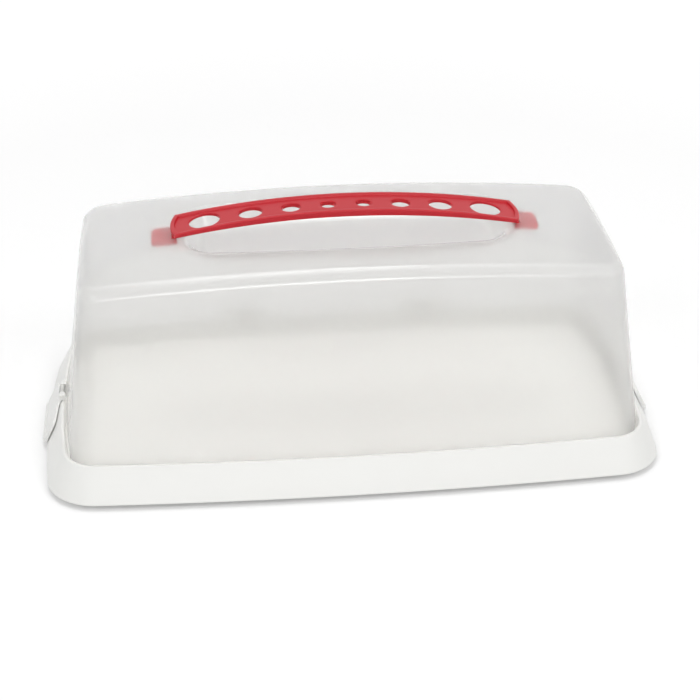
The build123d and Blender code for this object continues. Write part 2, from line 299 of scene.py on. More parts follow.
# %% Rings of the lid
# Rows are counted in millimetres drawn in: the scoop's floor and foot, then its wall and lip.
scoop_rows = np.concatenate([np.linspace(17, 8.5, 12), np.linspace(8, -4, 33)])
scoop_row_shift = 0.4    # outwards, for each millimetre of depth
top_rows = 18
floor_shares = (0.15, 0.3, 0.5, 0.7, 0.85)
wall_shares = (0.97, 0.8, 0.6, 0.4, 0.2, 0.05, 0.0)
band_levels = (band_top - 3, 20.0, 16.0, lid_foot + 0.6)


def scoop_rings(depth):
    """Rings over the scoop's floor, up its wall and out over its lip: each is the scoop's plan,
    drawn in by its row, at the lower of the scoop's height and the crown's."""
    floor_x, floor_y = scoop_quarter(scoop_rows[0])
    rings = [ring(floor_x * part, floor_y * part, lid_apex - scoop_depth - depth)
             for part in floor_shares]
    for drawn_in in scoop_rows - depth * scoop_row_shift:
        x, y = scoop_quarter(drawn_in)
        height = soft_lower(crown(x, y) - depth, scoop_height(drawn_in, depth), scoop_lip)
        rings.append(ring(x, y, height))
    return rings


def lid_rings(depth):
    """Rings from the scoop's middle to the foot, at that depth under the outer skin. The bevel is
    a straight cut between two parabolas, one that leaves the top and one that joins the wall."""
    rings = scoop_rings(depth)
    leg = bevel_leg - bevel_leg_loss * depth
    edge = lid_edge(depth)
    top_x, top_y = lid_quarter(depth + leg, edge)
    top_corner = ring(top_x, top_y, crown(top_x, top_y) - depth)
    in_x, in_y = lid_quarter(depth + leg + bevel_soft, edge)
    top_start = ring(in_x, in_y, crown(in_x, in_y) - depth)
    wall_corner = ring(*lid_quarter(depth, edge - leg), edge - leg)
    wall_start = ring(*lid_quarter(depth, edge - leg - bevel_soft), edge - leg - bevel_soft)
    slope = wall_corner - top_corner
    slope = slope / np.linalg.norm(slope, axis=-1, keepdims=True) * bevel_soft
    from_x, from_y = rings[-1][:, 0], rings[-1][:, 1]
    for part in np.linspace(0, 1, top_rows + 2)[1:-1]:
        x = from_x * (1 - part) + in_x * part
        y = from_y * (1 - part) + in_y * part
        rings.append(ring(x, y, crown(x, y) - depth))
    rings += bend(top_start, top_corner, top_corner + slope)
    rings += bend(wall_corner - slope, wall_corner, wall_start)
    for part in wall_shares:
        z = band_top + part * (edge - leg - bevel_soft - band_top)
        rings.append(ring(*lid_quarter(depth, z), z))
    for z in band_levels:
        rings.append(ring(*lid_quarter(depth, np.full(share.shape, z)), z))
    return rings


foot_corner = 0.5
level = np.full(share.shape, lid_foot)
foot = [ring(*lid_quarter(inset, level), level) for inset in (foot_corner, lid_wall - foot_corner)]
scoop_floor = lid_apex - scoop_depth
lid_points, lid_faces = skin(lid_rings(0.0) + foot + lid_rings(lid_wall)[::-1],
                             (0, 0, scoop_floor), (0, 0, scoop_floor - lid_wall))
lid_shell = new_piece("lid_shell", lid_points, lid_faces)

# %% [markdown]
# Under each end of the strap the lid has a slot, and the strap's tongue goes down through it. The
# slot could be left as a gap between rings, but its straight sides don't follow them, so it is
# cut with a block instead.

# %% Cut the slots for the tongues
tongue_width, riser_thickness, slot_clearance = 21.0, 2.2, 0.8
strap_past_scoop, riser_inset = 4.2, 1.4
strap_half_length = scoop_half_length + strap_past_scoop
slot_x = strap_half_length - riser_inset - riser_thickness / 2
slot_size = (riser_thickness + 2 * slot_clearance, tongue_width + 2 * slot_clearance, 3 * lid_wall)


def cut_block(piece, centre, size):
    """Takes a block out of a piece and keeps the result as its mesh."""
    block = bmesh.new()
    bmesh.ops.create_cube(block, size=1.0)
    bmesh.ops.scale(block, vec=Vector(size) * MM, verts=block.verts)
    bmesh.ops.translate(block, vec=Vector(centre) * MM, verts=block.verts)
    mesh = bpy.data.meshes.new("cutter")
    block.to_mesh(mesh)
    block.free()
    cutter = bpy.data.objects.new("cutter", mesh)
    bpy.context.scene.collection.objects.link(cutter)
    cut = piece.modifiers.new("slot", "BOOLEAN")
    cut.operation, cut.solver, cut.object = "DIFFERENCE", "EXACT", cutter
    bpy.context.view_layer.update()
    evaluated = piece.evaluated_get(bpy.context.evaluated_depsgraph_get())
    done = bpy.data.meshes.new_from_object(evaluated)
    piece.modifiers.clear()
    done.name = piece.name
    piece.data = done
    bpy.data.objects.remove(cutter)
    bpy.data.meshes.remove(mesh)


for side in (-1, 1):
    cut_block(lid_shell, (side * slot_x, 0, float(crown(slot_x, 0)) - lid_wall / 2), slot_size)
report(lid_shell)

# %% [markdown]
# ## The tray
# The tray is a moulding with one section all the way round: a sunken floor, a ledge that the lid
# stands on, a rim, and a skirt that flares down outside like a hem. Underneath, a plain foot ring
# carries it. The section is drawn as a line of (how far in from the widest outline, height), its
# corners are rounded, and every point of it becomes a ring.

# %% Rounding a section's corners
def rounded(before, spot, after, reach, steps=5):
    """The corner at spot as a short parabola that starts and ends reach away from it, or the
    corner itself where reach is 0."""
    if reach == 0:
        return [spot]
    back = (before - spot) / np.linalg.norm(before - spot) * reach
    ahead = (after - spot) / np.linalg.norm(after - spot) * reach
    return bend(spot + back, spot, spot + ahead, steps)


def soften(section):
    """An open line from corners (inset, height, reach), with all but its ends rounded."""
    spots = np.array([spot[:2] for spot in section], dtype=float)
    line = [spots[0]]
    for before, spot, after, (_, _, reach) in zip(spots, spots[1:], spots[2:], section[1:]):
        line += rounded(before, spot, after, reach)
    line.append(spots[-1])
    return np.array(line)


print("a right angle becomes", len(rounded(*np.array([[0, 1], [0, 0], [1, 0]]), 0.5)), "points")

# %% The tray's section, carried round
def tray_quarter(inset):
    """The tray's plan where it has drawn in that far from its widest outline."""
    return quarter(skirt_half_length - inset, skirt_half_width - inset,
                   skirt_end_bow, skirt_side_bow, skirt_corner_radius - inset)


wall_out = skirt_lean
wall_in = skirt_lean + tray_wall
ledge_in = wall_in + ledge_width
floor_in = ledge_in + floor_edge_run
ledge_under = ledge_above_table - tray_wall
floor_under = floor_above_table - tray_wall
floor_start = floor_in + 2.0
skirt_meets_foot = foot_height + skirt_rise * (wall_out - tray_wall) / skirt_lean
section = soften([
    (floor_start, floor_above_table, 0),
    (floor_in, floor_above_table, 1.5),
    (ledge_in, ledge_above_table, 1.5),
    (wall_in, ledge_above_table, 0.8),
    (wall_in, rim_z, 0.7),
    (wall_out, rim_z, 0.7),
    (0.0, foot_height, 0.8),
    (tray_wall, foot_height, 0.6),
    (wall_out, skirt_meets_foot, 0),
    (wall_out, 0.0, 0.5),
    (wall_in, 0.0, 0.5),
    (wall_in, ledge_under, 0.5),
    (ledge_in - tray_wall, ledge_under, 1.2),
    (floor_in - tray_wall, floor_under, 1.2),
    (floor_start, floor_under, 0),
])
tray_rings = [ring(*tray_quarter(inset), height) for inset, height in section]
tray_floor_shares = (0.12, 0.25, 0.4, 0.55, 0.7, 0.85, 0.95)
top_floor = [tray_rings[0] * (part, part, 1) for part in tray_floor_shares]
low_floor = [tray_rings[-1] * (part, part, 1) for part in tray_floor_shares[::-1]]
tray_points, tray_faces = skin(top_floor + tray_rings + low_floor,
                               (0, 0, floor_above_table), (0, 0, floor_under))
tray_shell = new_piece("tray_shell", tray_points, tray_faces)

# %% [markdown]
# ## The strap
# The strap is a red band, arched from slot to slot, with a shallow channel along its top between
# two raised rims, and eight holes that grow towards its ends. Its shape is a flat map with holes
# in it, lifted to an upper and a lower height. Cutting holes out of a finished band would leave
# ragged faces round them, so each hole lies in a cell whose rings run from the hole's circle out
# to the cell's border.

# %% The strap's arcs and outlines
strap_half_width, strap_end_half_width, strap_end_bulge = 12.2, 13.6, 2.8
strap_arch, strap_end_height = 10.3, 2.6
strap_thickness, strap_end_thickness = 4.2, 2.2
channel_rim, channel_depth, channel_end = 2.2, 1.2, 2.4
strap_holes = ((10.4, 9.0), (32.2, 11.2), (55.9, 14.0), (82.9, 18.0))
underside_overrun = 5.0
past_end = strap_half_length + underside_overrun
shoulder = strap_half_length - strap_end_bulge
channel_shoulder = shoulder - channel_end


def arc_height(x, middle, end, half_span):
    """Height on the arc that passes through middle at x = 0 and end at x = half_span."""
    rise = middle - end
    radius = (half_span ** 2 + rise ** 2) / (2 * rise)
    return middle - radius + np.sqrt(radius ** 2 - x ** 2)


def full_crown(x, y=0.0):
    """The lid's crown without its flattened ends, from which the strap's ends are measured."""
    return (lid_apex - crown_radius_x + np.sqrt(crown_radius_x ** 2 - x ** 2)
            - crown_radius_y + np.sqrt(crown_radius_y ** 2 - y ** 2))


def strap_top(x):
    """One arc from the strap's highest point down to its end height above the crown."""
    return arc_height(x, lid_apex + strap_arch, full_crown(strap_half_length) + strap_end_height,
                      strap_half_length)


def strap_under(x):
    """A flatter arc, which comes to the end thickness a little past the strap's end."""
    return arc_height(x, lid_apex + strap_arch - strap_thickness,
                      strap_top(past_end) - strap_end_thickness, past_end)


def half_width_at(x, waist, widest, span):
    """A parabola from the waist at the middle to the widest at the span."""
    return waist + (widest - waist) * (x / span) ** 2


print("strap top from", round(float(strap_top(strap_half_length)), 1), "to",
      round(float(strap_top(0)), 1), "mm")

# %% Holes and the borders between their cells
CELL = 12
across = np.linspace(-1, 1, CELL + 1)
floor_gap = 0.35
floor_waist = strap_half_width - channel_rim - floor_gap
floor_widest = strap_end_half_width - channel_rim - floor_gap
holes = sorted((side * place, size) for side in (-1, 1) for place, size in strap_holes)
half_borders = [21.3, 44.0, 69.4, channel_shoulder]
borders = [-x for x in half_borders[::-1]] + [0.0] + half_borders


def floor_half(x):
    """Half the width of the channel's floor."""
    return half_width_at(x, floor_waist, floor_widest, channel_shoulder)


def border(x):
    """The points of a cell's border across the strap; the channel's own ends bulge."""
    bulge = (strap_end_bulge - floor_gap) * (1 - across ** 2) * np.sign(x)
    bulge = np.where(abs(x) == channel_shoulder, bulge, 0)
    return np.stack([x + bulge, across * floor_half(x)], -1)


def long_side(x_from, x_to, sign):
    """Points along one long side of the channel's floor."""
    x = np.linspace(x_from, x_to, CELL + 1)
    return np.stack([x, sign * floor_half(x)], -1)


def rolled(distance, radius):
    """How far a quarter-round edge has fallen at a distance in from it."""
    return radius - np.sqrt(radius ** 2 - (radius - np.minimum(distance, radius)) ** 2)


print(len(holes), "holes from", holes[3][1], "to", holes[0][1], "mm")

# %% A cell round each hole
def cell(left, right, place, radius):
    """Rings from the hole's circle to the cell's border, each a share of the way between them,
    with how far the top falls and the underside rises at each."""
    loop = np.concatenate([long_side(left, right, -1)[:-1], border(right)[:-1],
                           long_side(right, left, 1)[:-1], border(left)[:0:-1]])
    angle = np.arctan2(loop[:, 1], loop[:, 0] - place)
    unit = np.stack([np.cos(angle), np.sin(angle)], -1)
    soft = 0.5
    steps = np.array([0.0, 0.06, 0.18, soft])
    circles = [unit * (radius + step) + (place, 0) for step in steps]
    blends = [circles[-1] * (1 - part) + loop * part for part in (0.25, 0.5, 0.75, 1.0)]
    fall = np.concatenate([channel_depth + rolled(steps, soft), np.full(4, channel_depth)])
    lift = np.concatenate([rolled(steps, soft), np.zeros(4)])
    return np.array(circles + blends), fall, lift


patches = [cell(left, right, place, size / 2)
           for left, right, (place, size) in zip(borders, borders[1:], holes)]
print(len(patches), "cells of", patches[0][0].shape[:2], "points")

# %% The rim round the cells
def rim():
    """Rings from the channel's floor, up its wall, over the rim and round the strap's outer edge:
    some a few tenths of a millimetre out from the floor's outline, some in from the strap's."""
    lower = np.concatenate([long_side(a, b, -1)[:-1] for a, b in zip(borders, borders[1:])])
    channel_tip = border(channel_shoulder)[:-1]
    inside = np.concatenate([lower, channel_tip, -lower, -channel_tip])
    x = lower[:, 0] * shoulder / channel_shoulder
    outside_half = half_width_at(x, strap_half_width, strap_end_half_width, shoulder)
    outside_low = np.stack([x, -outside_half], -1)
    tip = np.stack([shoulder + strap_end_bulge * (1 - across ** 2),
                    across * strap_end_half_width], -1)
    outside = np.concatenate([outside_low, tip[:-1], -outside_low, -tip[:-1]])
    gap = np.linalg.norm(outside - inside, axis=1, keepdims=True)
    soft = 0.6
    up = np.array([0.0, 0.12, 0.3, 0.45, 0.7])
    out = np.array([soft, 0.36, 0.18, 0.06, 0.0])
    rings = [inside + (outside - inside) * step / gap for step in up]
    rings += [outside + (inside - outside) * step / gap for step in out]
    fall = np.concatenate([[channel_depth, channel_depth * 0.8, channel_depth * 0.25, 0.08, 0.0],
                           rolled(out, soft)])
    return np.array(rings), fall, np.concatenate([np.zeros(5), rolled(out, soft)])


patches.append(rim())
print("rim of", patches[-1][0].shape[:2], "points")

# %% [markdown]
# The cells and the rim meet point for point, so their shared points are found by their places and
# counted once. An edge that has a face on one side only is a border of the map: a wall goes
# down from it, round the strap's outside and inside each hole.

# %% Lift the map into the strap
def lifted(patches, top, under):
    """Every point of the map twice: at the top's height less its fall, and at the underside's
    height plus its rise, with quads over both and walls between them along each border."""
    flat, fall, lift, quads = [], [], [], []
    start = 0
    for rings, falls, lifts in patches:
        rows, around = rings.shape[:2]
        row = start + np.arange(rows - 1)[:, None] * around
        here = np.arange(around)[None, :]
        after = (here + 1) % around
        corners = [row + here, row + around + here, row + around + after, row + after]
        quads.append(np.stack(corners, -1).reshape(-1, 4))
        flat.append(rings.reshape(-1, 2))
        fall.append(np.repeat(falls, around))
        lift.append(np.repeat(lifts, around))
        start += rows * around
    flat, fall, lift, quads = map(np.concatenate, (flat, fall, lift, quads))
    _, keep, number = np.unique(np.round(flat, 4) + 0.0, axis=0,
                                return_index=True, return_inverse=True)
    quads = number.ravel()[quads]
    flat, fall, lift = flat[keep], fall[keep], lift[keep]
    count = len(flat)
    high = np.column_stack([flat, top(flat[:, 0]) - fall])
    low = np.column_stack([flat, under(flat[:, 0]) + lift])
    start, end = quads.ravel(), np.roll(quads, -1, axis=1).ravel()
    alone = ~np.isin(start * count + end, end * count + start)
    start, end = start[alone], end[alone]
    walls = np.stack([end, start, start + count, end + count], -1)
    faces = np.concatenate([quads, quads[:, ::-1] + count, walls])
    return np.concatenate([high, low]), faces.tolist()


strap_band = new_piece("strap_band", *lifted(patches, strap_top, strap_under))

# %% [markdown]
# ## Plates and knuckles
# The small fittings are flat plates with rounded corners and short tubes. A plate is an outline
# pushed through a thickness and given a fine Bevel, because a moulded edge is never razor sharp.
# A knuckle is a tube: a little closed section turned about its axis.

# %% Helpers for plates and knuckles
def round_loop(corners):
    """A closed outline from corners (a, b, reach), each rounded by a parabola of that reach."""
    spots = np.array([corner[:2] for corner in corners], dtype=float)
    line = []
    for index, (spot, (_, _, reach)) in enumerate(zip(spots, corners)):
        before, after = spots[index - 1], spots[(index + 1) % len(spots)]
        line += rounded(before, spot, after, reach, 7)
    return np.array(line)


def plate(outline, origin, first, second, thickness):
    """The outline, given along two directions from an origin, pushed through a thickness along
    their cross product."""
    origin, first, second = (np.asarray(v, dtype=float) for v in (origin, first, second))
    flat = origin + outline[:, :1] * first + outline[:, 1:] * second
    through = np.cross(first, second) * thickness
    count = len(flat)
    here = np.arange(count)
    after = (here + 1) % count
    sides = np.stack([here, after, after + count, here + count], -1).tolist()
    return (np.concatenate([flat, flat + through]),
            sides + [here[::-1].tolist(), (here + count).tolist()])


def knuckle(centre, along, radius, bore, length):
    """A tube about an axis through its centre: a section of eight points, (place along the axis,
    distance from it), turned in equal steps."""
    steps, soft = 40, 0.25
    half = length / 2
    section = np.array([(-half, bore + soft), (-half + soft, bore),
                        (half - soft, bore), (half, bore + soft),
                        (half, radius - soft), (half - soft, radius),
                        (-half + soft, radius), (-half, radius - soft)])
    turn = np.linspace(0, 2 * math.pi, steps, endpoint=False)
    along = np.asarray(along, dtype=float)
    up = np.array([0.0, 0.0, 1.0])
    side = np.cross(up, along)
    spoke = np.cos(turn)[:, None] * side + np.sin(turn)[:, None] * up
    points = (np.asarray(centre) + section[None, :, :1] * along
              + section[None, :, 1:] * spoke[:, None, :])
    here = np.arange(steps)[:, None] * len(section)
    ahead = np.roll(here, -1, axis=0)
    corner = np.arange(len(section))[None, :]
    after = (corner + 1) % len(section)
    quads = np.stack([here + corner, here + after, ahead + after, ahead + corner], -1)
    return points.reshape(-1, 3), quads.reshape(-1, 4).tolist()


def together(shapes, mirrored=False):
    """Several shapes as one list of points and faces, mirrored in X if asked."""
    points, faces, count = [], [], 0
    for shape_points, shape_faces in shapes:
        points.append(shape_points * ((-1, 1, 1) if mirrored else (1, 1, 1)))
        faces += [[corner + count for corner in (face[::-1] if mirrored else face)]
                  for face in shape_faces]
        count += len(shape_points)
    return np.concatenate(points), faces


def fitting(name, shapes, bevel=0.25, mirrored=False):
    """Several shapes as one piece, whose edges get a fine Bevel of that width."""
    piece = new_piece(name, *together(shapes, mirrored), crease=180.0)
    edge = piece.modifiers.new("moulded edge", "BEVEL")
    edge.width, edge.segments = bevel * MM, 2
    edge.limit_method, edge.angle_limit = "ANGLE", math.radians(40)
    edge.harden_normals = True
    return piece


X, Y, Z = (1, 0, 0), (0, 1, 0), (0, 0, 1)

# %% [markdown]
# ## The strap's tongues
# At each end the strap goes down through its slot and runs on under the lid as a flat tongue,
# which keeps it from pulling out. The tongue lies along the slope of the lid's top, so that it
# shows through the milky sheet as one even patch.

# %% Tongues and the risers in the slots
tongue_reach, tongue_thickness, tongue_corner = 11.2, 1.8, 4.0
riser_corner = 0.6
strap_play, strap_clearance = 1.0, 0.3
reach = strap_half_length + tongue_reach
tongue_top = float(full_crown(reach, tongue_width / 2)) - lid_wall - strap_clearance - strap_play
riser_out = strap_half_length - riser_inset
riser_in = riser_out - riser_thickness
half_tongue = tongue_width / 2
tongue_rise = float(full_crown(riser_in, half_tongue) - full_crown(reach, half_tongue))
tongue_slope = tongue_rise / (reach - riser_in)


def tongue_outline(far, far_corner):
    """A rectangle from the riser's inner face to far, its far corners with their own reach."""
    return round_loop([(riser_in, -half_tongue, riser_corner), (far, -half_tongue, far_corner),
                       (far, half_tongue, far_corner), (riser_in, half_tongue, riser_corner)])


tongue = tongue_outline(reach, tongue_corner)
riser = tongue_outline(riser_out, riser_corner)
riser_low = tongue_top + tongue_rise - tongue_thickness / 2
riser_high = float(strap_under(strap_half_length)) + strap_end_thickness / 2
tongue_start = tongue_top - tongue_thickness + tongue_slope * reach
half_pair = [plate(tongue, (0, 0, tongue_start), (1, 0, -tongue_slope), Y, tongue_thickness),
             plate(riser, (0, 0, riser_low), X, Y, riser_high - riser_low)]
strap_tongues = fitting("strap_tongues", [together(half_pair), together(half_pair, mirrored=True)],
                        bevel=0.3)
print("each tongue falls", round(tongue_rise, 2), "mm on its way out")

# %% [markdown]
# ## The hinge
# At the back the lid's two arms end in knuckles between the tray's, and a nylon pin runs through
# each three. The tray's knuckles stand on webs that grow out of its skirt. Tubes and plates that
# overlap a little read as one moulding, so they need not be joined.

# %% Sizes of the hinge
hinge_out, hinge_up = 3.5, 1.5
hinge_y, hinge_z = rim_half_width + hinge_out, rim_z + hinge_up
hinge_radius, hinge_length, hinge_gap = 3.2, 9.0, 0.4
hinge_middles = (-60.0, 60.0)
pin_radius, running_clearance, seated_clearance = 1.5, 0.05, 0.02
arm_thickness, arm_short = 2.6, 1.9
web_drop, web_run, web_sink = 7.0, 3.3, 0.4
web_seat = ((1.9, -2.3, 0.3), (0.0, -2.2, 0), (-2.1, -1.2, 0))
fine_corner = 0.3
band_half_width = skirt_half_width - band_inset


def side_in(x):
    """How far the bowed side lies in from its widest line, at x from the middle."""
    return skirt_side_bow * (x / (rim_half_length - skirt_end_bow)) ** 2


def hinge_piece(x, side_line, outline, clearance):
    """A plate that grows out of the bowed side at x, and the knuckle that it carries. The
    outline gives the plate's corners from its root, where the side's line lies at x."""
    root = side_line - side_in(abs(x) + hinge_length / 2)
    return [plate(round_loop(outline(root)), (x - hinge_length / 2, 0, 0), Y, Z, hinge_length),
            knuckle((x, hinge_y, hinge_z), X, hinge_radius, pin_radius + clearance, hinge_length)]


print("hinge axis", hinge_y, "mm behind the middle and", hinge_z, "mm up")

# %% Hinge arms on the lid and knuckles on the tray
def arm_outline(root):
    """A bar from the lid's foot band to just short of the pin."""
    low, high, tip = rim_z + hinge_gap, rim_z + hinge_gap + arm_thickness, hinge_y - arm_short
    return [(root, low, 0), (tip, low, fine_corner), (tip, high, fine_corner), (root, high, 0)]


def web_outline(root):
    """A gusset that rises from the skirt and ends inside the knuckle, at the web's seat, whose
    corners are counted from the pin's axis."""
    return ([(root, rim_z - web_sink, 0), (root + web_run, rim_z - web_drop, 0)]
            + [(hinge_y + out, hinge_z + up, corner) for out, up, corner in web_seat])


arms, knuckles = [], []
for middle in hinge_middles:
    arms += hinge_piece(middle, band_half_width - lid_wall / 2, arm_outline, running_clearance)
    for step in (-1, 1):
        knuckles += hinge_piece(middle + step * (hinge_length + hinge_gap),
                                rim_half_width - tray_wall / 2, web_outline, seated_clearance)
lid_hinge_arms = fitting("lid_hinge_arms", arms)
tray_hinge_knuckles = fitting("tray_hinge_knuckles", knuckles)

# %% [markdown]
# ## The end clips
# At each end a thin flap hangs from a lug on the lid and lies on the slope of the skirt, down to
# just past its hem. A flat object could be turned to lie there. Here the outline's two directions
# are across and up the slope, so the plate helper puts every point in place at once.

# %% Sizes of a clip
clip_in, clip_up = 0.6, 3.0
clip_x, clip_z = rim_half_length - clip_in, rim_z + clip_up
clip_half_width, clip_neck, clip_shoulder, clip_corner = 24.0, 8.5, 6.5, 4.0
neck_corner, neck_sink, notch_depth, notch_corner = 3.0, 0.9, 0.6, 0.8
clip_thickness, clip_gap, clip_tail = 1.4, 0.35, 0.7
clip_knuckle_radius, clip_pin_radius, clip_lug = 2.1, 1.0, 4.2
grip_height, grip_length, grip_corner, grip_inset, grip_sink = 0.8, 2.4, 0.5, 0.1, 0.2
lug_short, lug_base = 1.3, 0.5
run = math.hypot(skirt_rise, skirt_lean)
outwards = np.array([skirt_rise, 0, skirt_lean]) / run
up_slope = np.array([-skirt_lean, 0, skirt_rise]) / run
neck_top = (clip_up * skirt_rise + clip_in * skirt_lean) / run - neck_sink
tail = -run - clip_tail
notch = clip_lug + hinge_gap
rim_corner = np.array([rim_half_length, 0, rim_z])
print("clip covers", round(run + clip_tail, 1), "mm of the slope")

# %% The clips
half_flap = [(clip_half_width, tail, clip_corner), (clip_half_width, -clip_shoulder, clip_corner),
             (clip_neck, -clip_shoulder + clip_corner, neck_corner), (clip_neck, neck_top, 0),
             (notch, neck_top, 0), (notch, -notch_depth, notch_corner)]
grip_half, grip_low = clip_half_width - clip_corner, tail + grip_inset
half_grip = [(grip_half, grip_low, grip_corner), (grip_half, tail + grip_length, grip_corner)]


def on_slope(half_outline, height, thickness):
    """A plate on the skirt's slope at that height above it, from the corners of its right half."""
    left_half = [(-a, b, corner) for a, b, corner in half_outline[::-1]]
    return plate(round_loop(half_outline + left_half), rim_corner + outwards * height, Y, up_slope,
                 thickness)


clip = [on_slope(half_flap, clip_gap, clip_thickness),
        on_slope(half_grip, clip_gap + clip_thickness - grip_sink, grip_height + grip_sink)]
for step in (-1, 1):
    clip.append(knuckle((clip_x, step * (notch + clip_neck) / 2, clip_z), Y, clip_knuckle_radius,
                        clip_pin_radius + running_clearance, clip_neck - notch))
clip_left = fitting("clip_left", clip, mirrored=True)
clip_right = fitting("clip_right", clip)

# %% The lugs that carry the clips
lug_in, lug_out = skirt_half_length - band_inset - lid_wall / 2, clip_x - lug_short
lug_low, lug_high = rim_z + lug_base, clip_z + clip_knuckle_radius
lug = round_loop([(lug_in, lug_low, 0), (lug_out, lug_low, fine_corner),
                  (lug_out, lug_high, fine_corner), (lug_in, lug_high, 0)])
half_lugs = [plate(lug, (0, clip_lug, 0), X, Z, 2 * clip_lug),
             knuckle((clip_x, 0, clip_z), Y, clip_knuckle_radius,
                     clip_pin_radius + seated_clearance, 2 * clip_lug)]
lid_clip_lugs = fitting("lid_clip_lugs", [together(half_lugs), together(half_lugs, mirrored=True)])

# %% [markdown]
# ## Finishes
# All of it is moulded plastic, so what tells the pieces apart is colour, how milky they are and
# how soft the gloss is. Each finish is a Principled shader. Noise on Object coordinates gives the
# slight cloudiness of the plastic and the faint orange peel of a moulded skin: a picture could
# do that too, but noise needs no unwrapping and has no seams.

# %% A helper for shader nodes
def set_inputs(node, **values):
    """Sets a node's inputs by name, with underscores for the names' spaces."""
    for socket, value in values.items():
        node.inputs[socket.replace("_", " ")].default_value = value
    return node


def new_finish(name):
    """A material and its nodes and links."""
    finish = bpy.data.materials.new(name)
    finish.use_nodes = True
    print("finish", name)
    return finish, finish.node_tree.nodes, finish.node_tree.links


# %% A helper for moulded plastic
cloud_scale, gloss_scale, peel_scale = 14.0, 60.0, 900.0
gloss_swing = 0.15
peel_strength, peel_depth = 0.03, 0.0004


def moulded(name, colour, cloud, roughness, **sockets):
    """A Principled plastic: the colour wanders between the given one and that colour times
    cloud, the roughness by the gloss swing to both sides, and a fine bump is the peel."""
    finish, nodes, links = new_finish(name)
    shader = set_inputs(nodes["Principled BSDF"], **sockets)
    place = nodes.new("ShaderNodeTexCoord").outputs["Object"]

    def noise(scale, detail):
        texture = set_inputs(nodes.new("ShaderNodeTexNoise"), Scale=scale, Detail=detail)
        links.new(place, texture.inputs["Vector"])
        return texture.outputs["Fac"]

    tint = nodes.new("ShaderNodeMix")
    tint.data_type = "RGBA"
    links.new(noise(cloud_scale, 3.0), tint.inputs["Factor"])
    tint.inputs["A"].default_value = (*colour, 1)
    tint.inputs["B"].default_value = (*(value * cloud for value in colour), 1)
    links.new(tint.outputs["Result"], shader.inputs["Base Color"])
    gloss = set_inputs(nodes.new("ShaderNodeMapRange"), To_Min=roughness * (1 - gloss_swing),
                       To_Max=roughness * (1 + gloss_swing))
    links.new(noise(gloss_scale, 2.0), gloss.inputs["Value"])
    links.new(gloss.outputs["Result"], shader.inputs["Roughness"])
    peel = set_inputs(nodes.new("ShaderNodeBump"), Strength=peel_strength, Distance=peel_depth)
    links.new(noise(peel_scale, 2.0), peel.inputs["Height"])
    links.new(peel.outputs["Normal"], shader.inputs["Normal"])
    return finish


# %% The plain finishes
white_tray = moulded("white tray plastic", (0.90, 0.90, 0.875), 0.98, 0.38,
                     Specular_IOR_Level=0.25)
red_strap = moulded("red strap plastic", (0.60, 0.016, 0.028), 0.9, 0.38, Specular_IOR_Level=0.3)
clip_plastic = moulded("white clip plastic", (0.88, 0.88, 0.86), 0.98, 0.38)
pin_nylon = moulded("white pin nylon", (0.82, 0.82, 0.79), 0.96, 0.5)

# %% [markdown]
# The lid is natural polypropylene, which is milky. Alpha lets about half of the view straight
# through it, and a rough Transmission blurs much of the rest, so that the strap's tongues close
# under the sheet still show while the hinge far behind it melts away. A clear coat carries the
# gloss, which draws the bevel's two fine lines. Lamps don't reach through rough glass, which
# would leave the inside dark. Caustics could bring their light in, but they are slow and grainy,
# so for shadow rays alone a mix puts a plain veil in the plastic's place.

# %% The milky finish of the lid
def pass_lamps(finish, amount):
    """Lamps shine through a see-through finish as through a veil that lets that amount by."""
    nodes, links = finish.node_tree.nodes, finish.node_tree.links
    veil = set_inputs(nodes.new("ShaderNodeBsdfTransparent"), Color=(amount, amount, amount, 1))
    choice = nodes.new("ShaderNodeMixShader")
    links.new(nodes.new("ShaderNodeLightPath").outputs["Is Shadow Ray"], choice.inputs["Fac"])
    links.new(nodes["Principled BSDF"].outputs["BSDF"], choice.inputs[1])
    links.new(veil.outputs["BSDF"], choice.inputs[2])
    links.new(choice.outputs["Shader"], nodes["Material Output"].inputs["Surface"])


milky_lid = moulded("milky lid plastic", (0.75, 0.746, 0.735), 0.98, 0.6, Alpha=0.53,
                    Transmission_Weight=0.88, IOR=1.15, Specular_IOR_Level=0.0,
                    Coat_Weight=1.0, Coat_Roughness=0.16, Coat_IOR=1.7)
pass_lamps(milky_lid, 0.78)
print(milky_lid.name, "has", len(milky_lid.node_tree.nodes), "nodes")

# %% [markdown]
# ## Fit the pieces to the frame
# Each piece rides on the body it belongs to and stands for a node, whose solid is hidden. The
# pins keep their own solids and only take a finish.

# %% Ride, replace, finish
fits = [
    (lid_shell, "lid", "lid_dome", "lid_plastic", milky_lid),
    (lid_hinge_arms, "lid", "lid_dome", "lid_plastic", milky_lid),
    (lid_clip_lugs, "lid", "lid_dome", "lid_plastic", milky_lid),
    (tray_shell, "tray", "base_tray", "tray_plastic", white_tray),
    (tray_hinge_knuckles, "tray", "base_tray", "tray_plastic", white_tray),
    (strap_band, "strap", "handle_strap", "strap_plastic", red_strap),
    (strap_tongues, "strap", "handle_strap", "strap_plastic", red_strap),
    (clip_left, "clip_left", "end_clip_left", "clip_plastic", clip_plastic),
    (clip_right, "clip_right", "end_clip_right", "clip_plastic", clip_plastic),
]
for piece, body, node, slot, finish in fits:
    piece.data.materials.clear()
    piece.data.materials.append(finish)
    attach(piece, body)
    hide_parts(node)
pins = ("hinge_pin_left", "hinge_pin_right", "clip_pin_left", "clip_pin_right")
for node in pins:
    pin = frame["nodes"][node]
    pin.data.materials.clear()
    pin.data.materials.append(pin_nylon)
print(len(fits), "pieces dressed,", len(pins), "pins finished")

